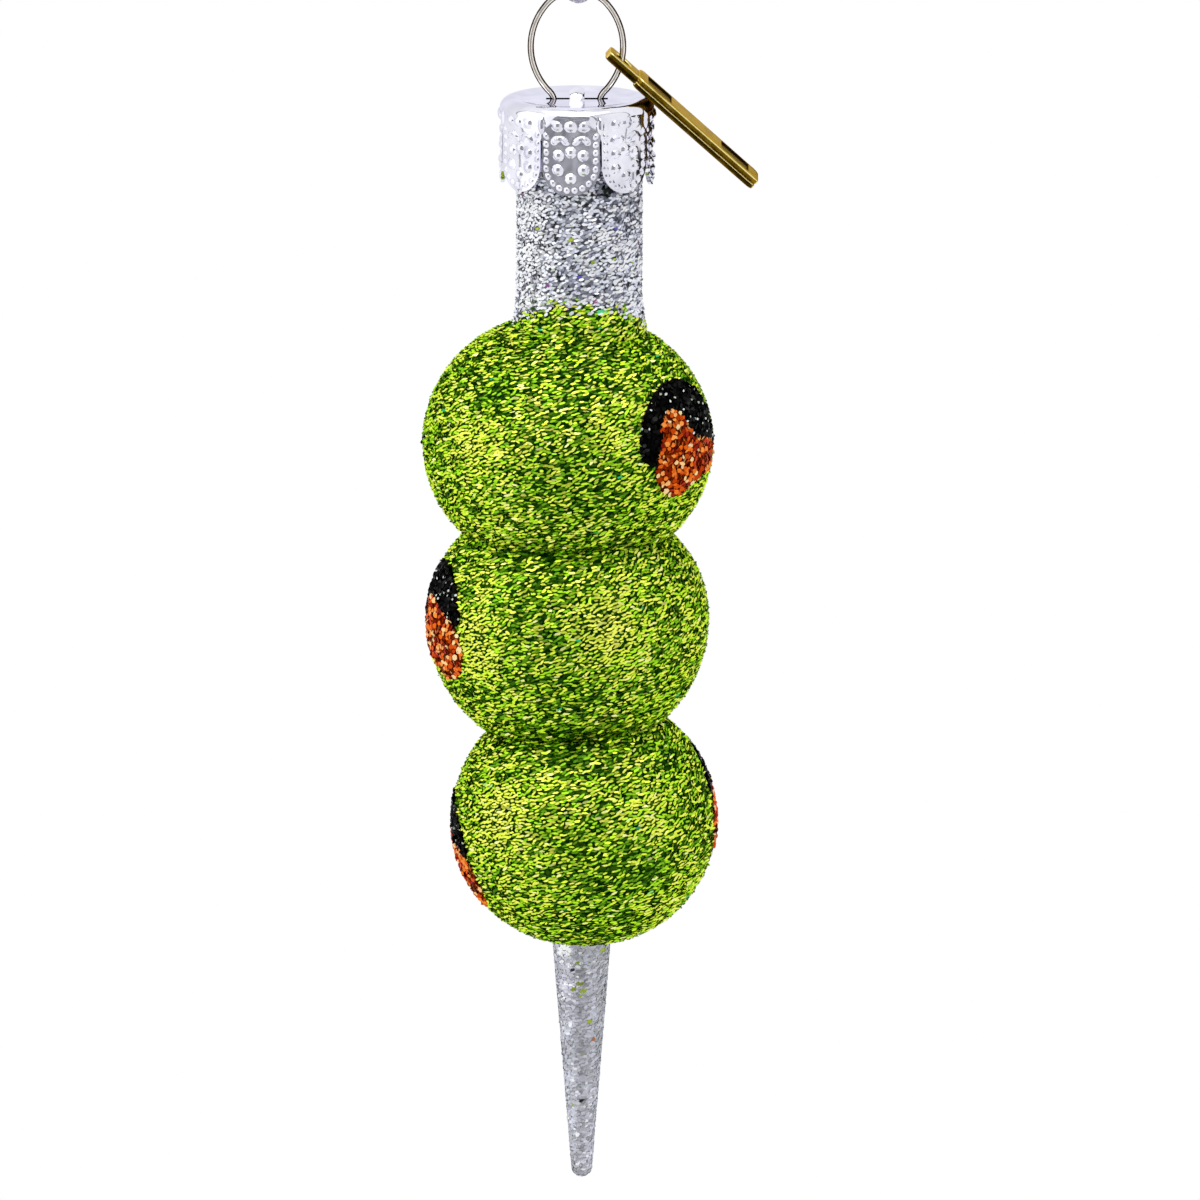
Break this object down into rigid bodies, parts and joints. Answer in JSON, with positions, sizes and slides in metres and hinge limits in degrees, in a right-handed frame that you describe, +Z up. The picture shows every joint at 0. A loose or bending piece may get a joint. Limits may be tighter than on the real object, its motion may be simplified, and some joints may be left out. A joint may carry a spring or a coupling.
{
  "type": "glass olive pick ornament",
  "caption": "Hanging glass ornament of stacked glittered olives on a cocktail pick, with a stamped crown cap, wire loop, hang tag and cord loop.",
  "frame": {"origin": "inside top of the wire hanger's loop, where a hook or cord carries the ornament", "axes": "+Z up along the neck and the pick, +X to the right and -Y to the front as pictured"},
  "size_m": [0.0293, 0.0252, 0.1248],
  "materials": {
    "glass": "blown, silvered inside",
    "silver_glitter": "silver glitter in clear lacquer",
    "green_glitter": "yellow-green glitter in clear lacquer",
    "black_glitter": "black glitter in clear lacquer",
    "orange_glitter": "orange glitter in clear lacquer",
    "silver_cap": "bright stamped sheet",
    "wire": "bright spring wire",
    "brass": "worn bright brass",
    "metallic_cord": "twisted metallic thread"
  },
  "bodies": {
    "hanger": {"wire_hanger": "wire", "hanging_cord": "metallic_cord", "cord_knot": "metallic_cord"},
    "cap": {"crown_cap": "silver_cap"},
    "ornament": {"glass_body": "glass", "neck_glitter": "silver_glitter", "upper_olive_glitter": "green_glitter", "middle_olive_glitter": "green_glitter", "lower_olive_glitter": "green_glitter", "pick_glitter": "silver_glitter", "upper_front_pit": "black_glitter", "upper_back_pit": "black_glitter", "middle_left_pit": "black_glitter", "middle_back_pit": "black_glitter", "lower_left_pit": "black_glitter", "lower_right_pit": "black_glitter", "upper_front_pimento": "orange_glitter", "upper_back_pimento": "orange_glitter", "middle_left_pimento": "orange_glitter", "middle_back_pimento": "orange_glitter", "lower_left_pimento": "orange_glitter", "lower_right_pimento": "orange_glitter"},
    "tag": {"hang_tag": "brass"}
  },
  "joints": [
    {"name": "cap_rock", "type": "hinge", "parent": "hanger", "child": "cap", "pos_m": [0, 0, -0.00931], "axis": [1, 0, 0], "range_deg": [-6, 6]},
    {"name": "glass_pull", "type": "slide", "parent": "cap", "child": "ornament", "axis": [0, 0, -1], "range_m": [0, 0.016]},
    {"name": "tag_swing", "type": "hinge", "parent": "hanger", "child": "tag", "pos_m": [0.00383, 0, -0.00617], "axis": [0.6665, 0, 0.7455], "range_deg": [-75, 75]}
  ]
}
